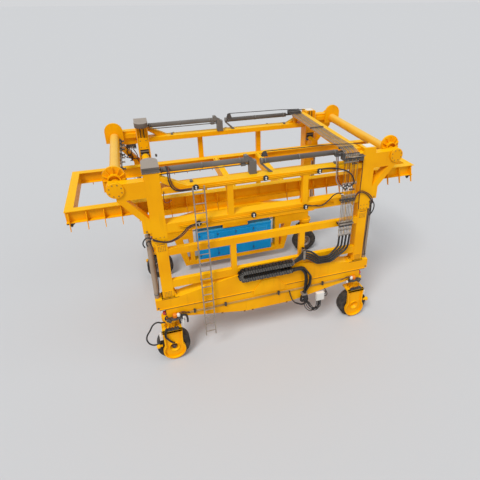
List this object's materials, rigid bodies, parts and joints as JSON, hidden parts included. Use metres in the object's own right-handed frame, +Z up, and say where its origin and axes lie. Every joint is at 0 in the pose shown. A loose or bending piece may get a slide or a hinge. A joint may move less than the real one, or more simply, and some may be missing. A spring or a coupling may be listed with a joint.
{
  "type": "rubber tyred gantry crane",
  "caption": "Mobile portal crane on steered rubber tyred wheels, with a telescoping upper frame, hoist cylinders and a container spreader hung between its side frames.",
  "frame": {"origin": "ground level at the centre of the four wheels", "axes": "X along the machine, -Y the near side with the ladder, +Z up"},
  "size_m": [9.09, 4.473, 5.556],
  "materials": {
    "yellow_paint": "semi-gloss",
    "blue_paint": "semi-gloss",
    "grey_paint": "satin",
    "dark_steel": "satin",
    "rod_steel": "polished",
    "black_plastic": "matte",
    "tyre_rubber": "matte"
  },
  "bodies": {
    "portal": {"near_sill": "yellow_paint", "far_sill": "yellow_paint", "near_masts": "yellow_paint", "far_masts": "yellow_paint", "near_rails": "yellow_paint", "far_rails": "yellow_paint", "lift_barrels": "grey_paint", "energy_chain": "black_plastic", "lower_ladder": "dark_steel"},
    "near_beam": {"near_wheel_beam": "yellow_paint"},
    "far_beam": {"far_wheel_beam": "yellow_paint", "power_pack": "blue_paint", "pack_lid": "grey_paint"},
    "upper_frame": {"near_sleeves": "yellow_paint", "far_sleeves": "yellow_paint", "near_top_beam": "yellow_paint", "far_top_beam": "yellow_paint", "mid_beams": "yellow_paint", "near_arms": "yellow_paint", "far_arms": "yellow_paint", "end_discs": "yellow_paint", "cross_tubes": "yellow_paint", "tube_hangers": "yellow_paint", "sheave_caps": "grey_paint", "hoist_cylinders": "grey_paint", "pedestals": "grey_paint", "lift_rods": "rod_steel", "hose_bridge": "yellow_paint", "upper_ladder": "dark_steel", "upper_posts": "yellow_paint", "hoist_ropes": "dark_steel"},
    "spreader": {"spreader_beams": "yellow_paint", "spreader_guides": "yellow_paint", "spreader_ends": "yellow_paint", "spreader_cross_members": "yellow_paint", "spreader_lugs": "yellow_paint", "twistlocks": "dark_steel"},
    "near_left_steering": {"near_left_fork": "yellow_paint"},
    "near_left_wheel": {"near_left_tyre": "tyre_rubber", "near_left_rim": "dark_steel"},
    "near_right_steering": {"near_right_fork": "yellow_paint"},
    "near_right_wheel": {"near_right_tyre": "tyre_rubber", "near_right_rim": "dark_steel"},
    "far_left_steering": {"far_left_fork": "yellow_paint"},
    "far_left_wheel": {"far_left_tyre": "tyre_rubber", "far_left_rim": "dark_steel"},
    "far_right_steering": {"far_right_fork": "yellow_paint"},
    "far_right_wheel": {"far_right_tyre": "tyre_rubber", "far_right_rim": "dark_steel"}
  },
  "joints": [
    {"name": "near_shift", "type": "slide", "parent": "portal", "child": "near_beam", "axis": [1, 0, 0], "range_m": [-0.25, 0.25]},
    {"name": "far_shift", "type": "slide", "parent": "portal", "child": "far_beam", "axis": [1, 0, 0], "range_m": [-0.25, 0.25]},
    {"name": "lift", "type": "slide", "parent": "portal", "child": "upper_frame", "axis": [0, 0, 1], "range_m": [0, 1.2]},
    {"name": "hoist", "type": "slide", "parent": "upper_frame", "child": "spreader", "axis": [0, 0, 1], "range_m": [-1.1, 0]},
    {"name": "near_left_steer", "type": "hinge", "parent": "near_beam", "child": "near_left_steering", "pos_m": [-2.625, -1.85, 0.425], "axis": [0, 0, 1], "range_deg": [-90, 90]},
    {"name": "near_left_spin", "type": "hinge", "parent": "near_left_steering", "child": "near_left_wheel", "pos_m": [-2.625, -1.85, 0.425], "axis": [0, 1, 0], "continuous": true},
    {"name": "near_right_steer", "type": "hinge", "parent": "near_beam", "child": "near_right_steering", "pos_m": [2.625, -1.85, 0.425], "axis": [0, 0, 1], "range_deg": [-90, 90]},
    {"name": "near_right_spin", "type": "hinge", "parent": "near_right_steering", "child": "near_right_wheel", "pos_m": [2.625, -1.85, 0.425], "axis": [0, 1, 0], "continuous": true},
    {"name": "far_left_steer", "type": "hinge", "parent": "far_beam", "child": "far_left_steering", "pos_m": [-2.625, 1.85, 0.425], "axis": [0, 0, 1], "range_deg": [-90, 90]},
    {"name": "far_left_spin", "type": "hinge", "parent": "far_left_steering", "child": "far_left_wheel", "pos_m": [-2.625, 1.85, 0.425], "axis": [0, 1, 0], "continuous": true},
    {"name": "far_right_steer", "type": "hinge", "parent": "far_beam", "child": "far_right_steering", "pos_m": [2.625, 1.85, 0.425], "axis": [0, 0, 1], "range_deg": [-90, 90]},
    {"name": "far_right_spin", "type": "hinge", "parent": "far_right_steering", "child": "far_right_wheel", "pos_m": [2.625, 1.85, 0.425], "axis": [0, 1, 0], "continuous": true}
  ],
  "couplings": [
    {"joint": "far_shift", "follows": "near_shift", "ratio": 1}
  ]
}
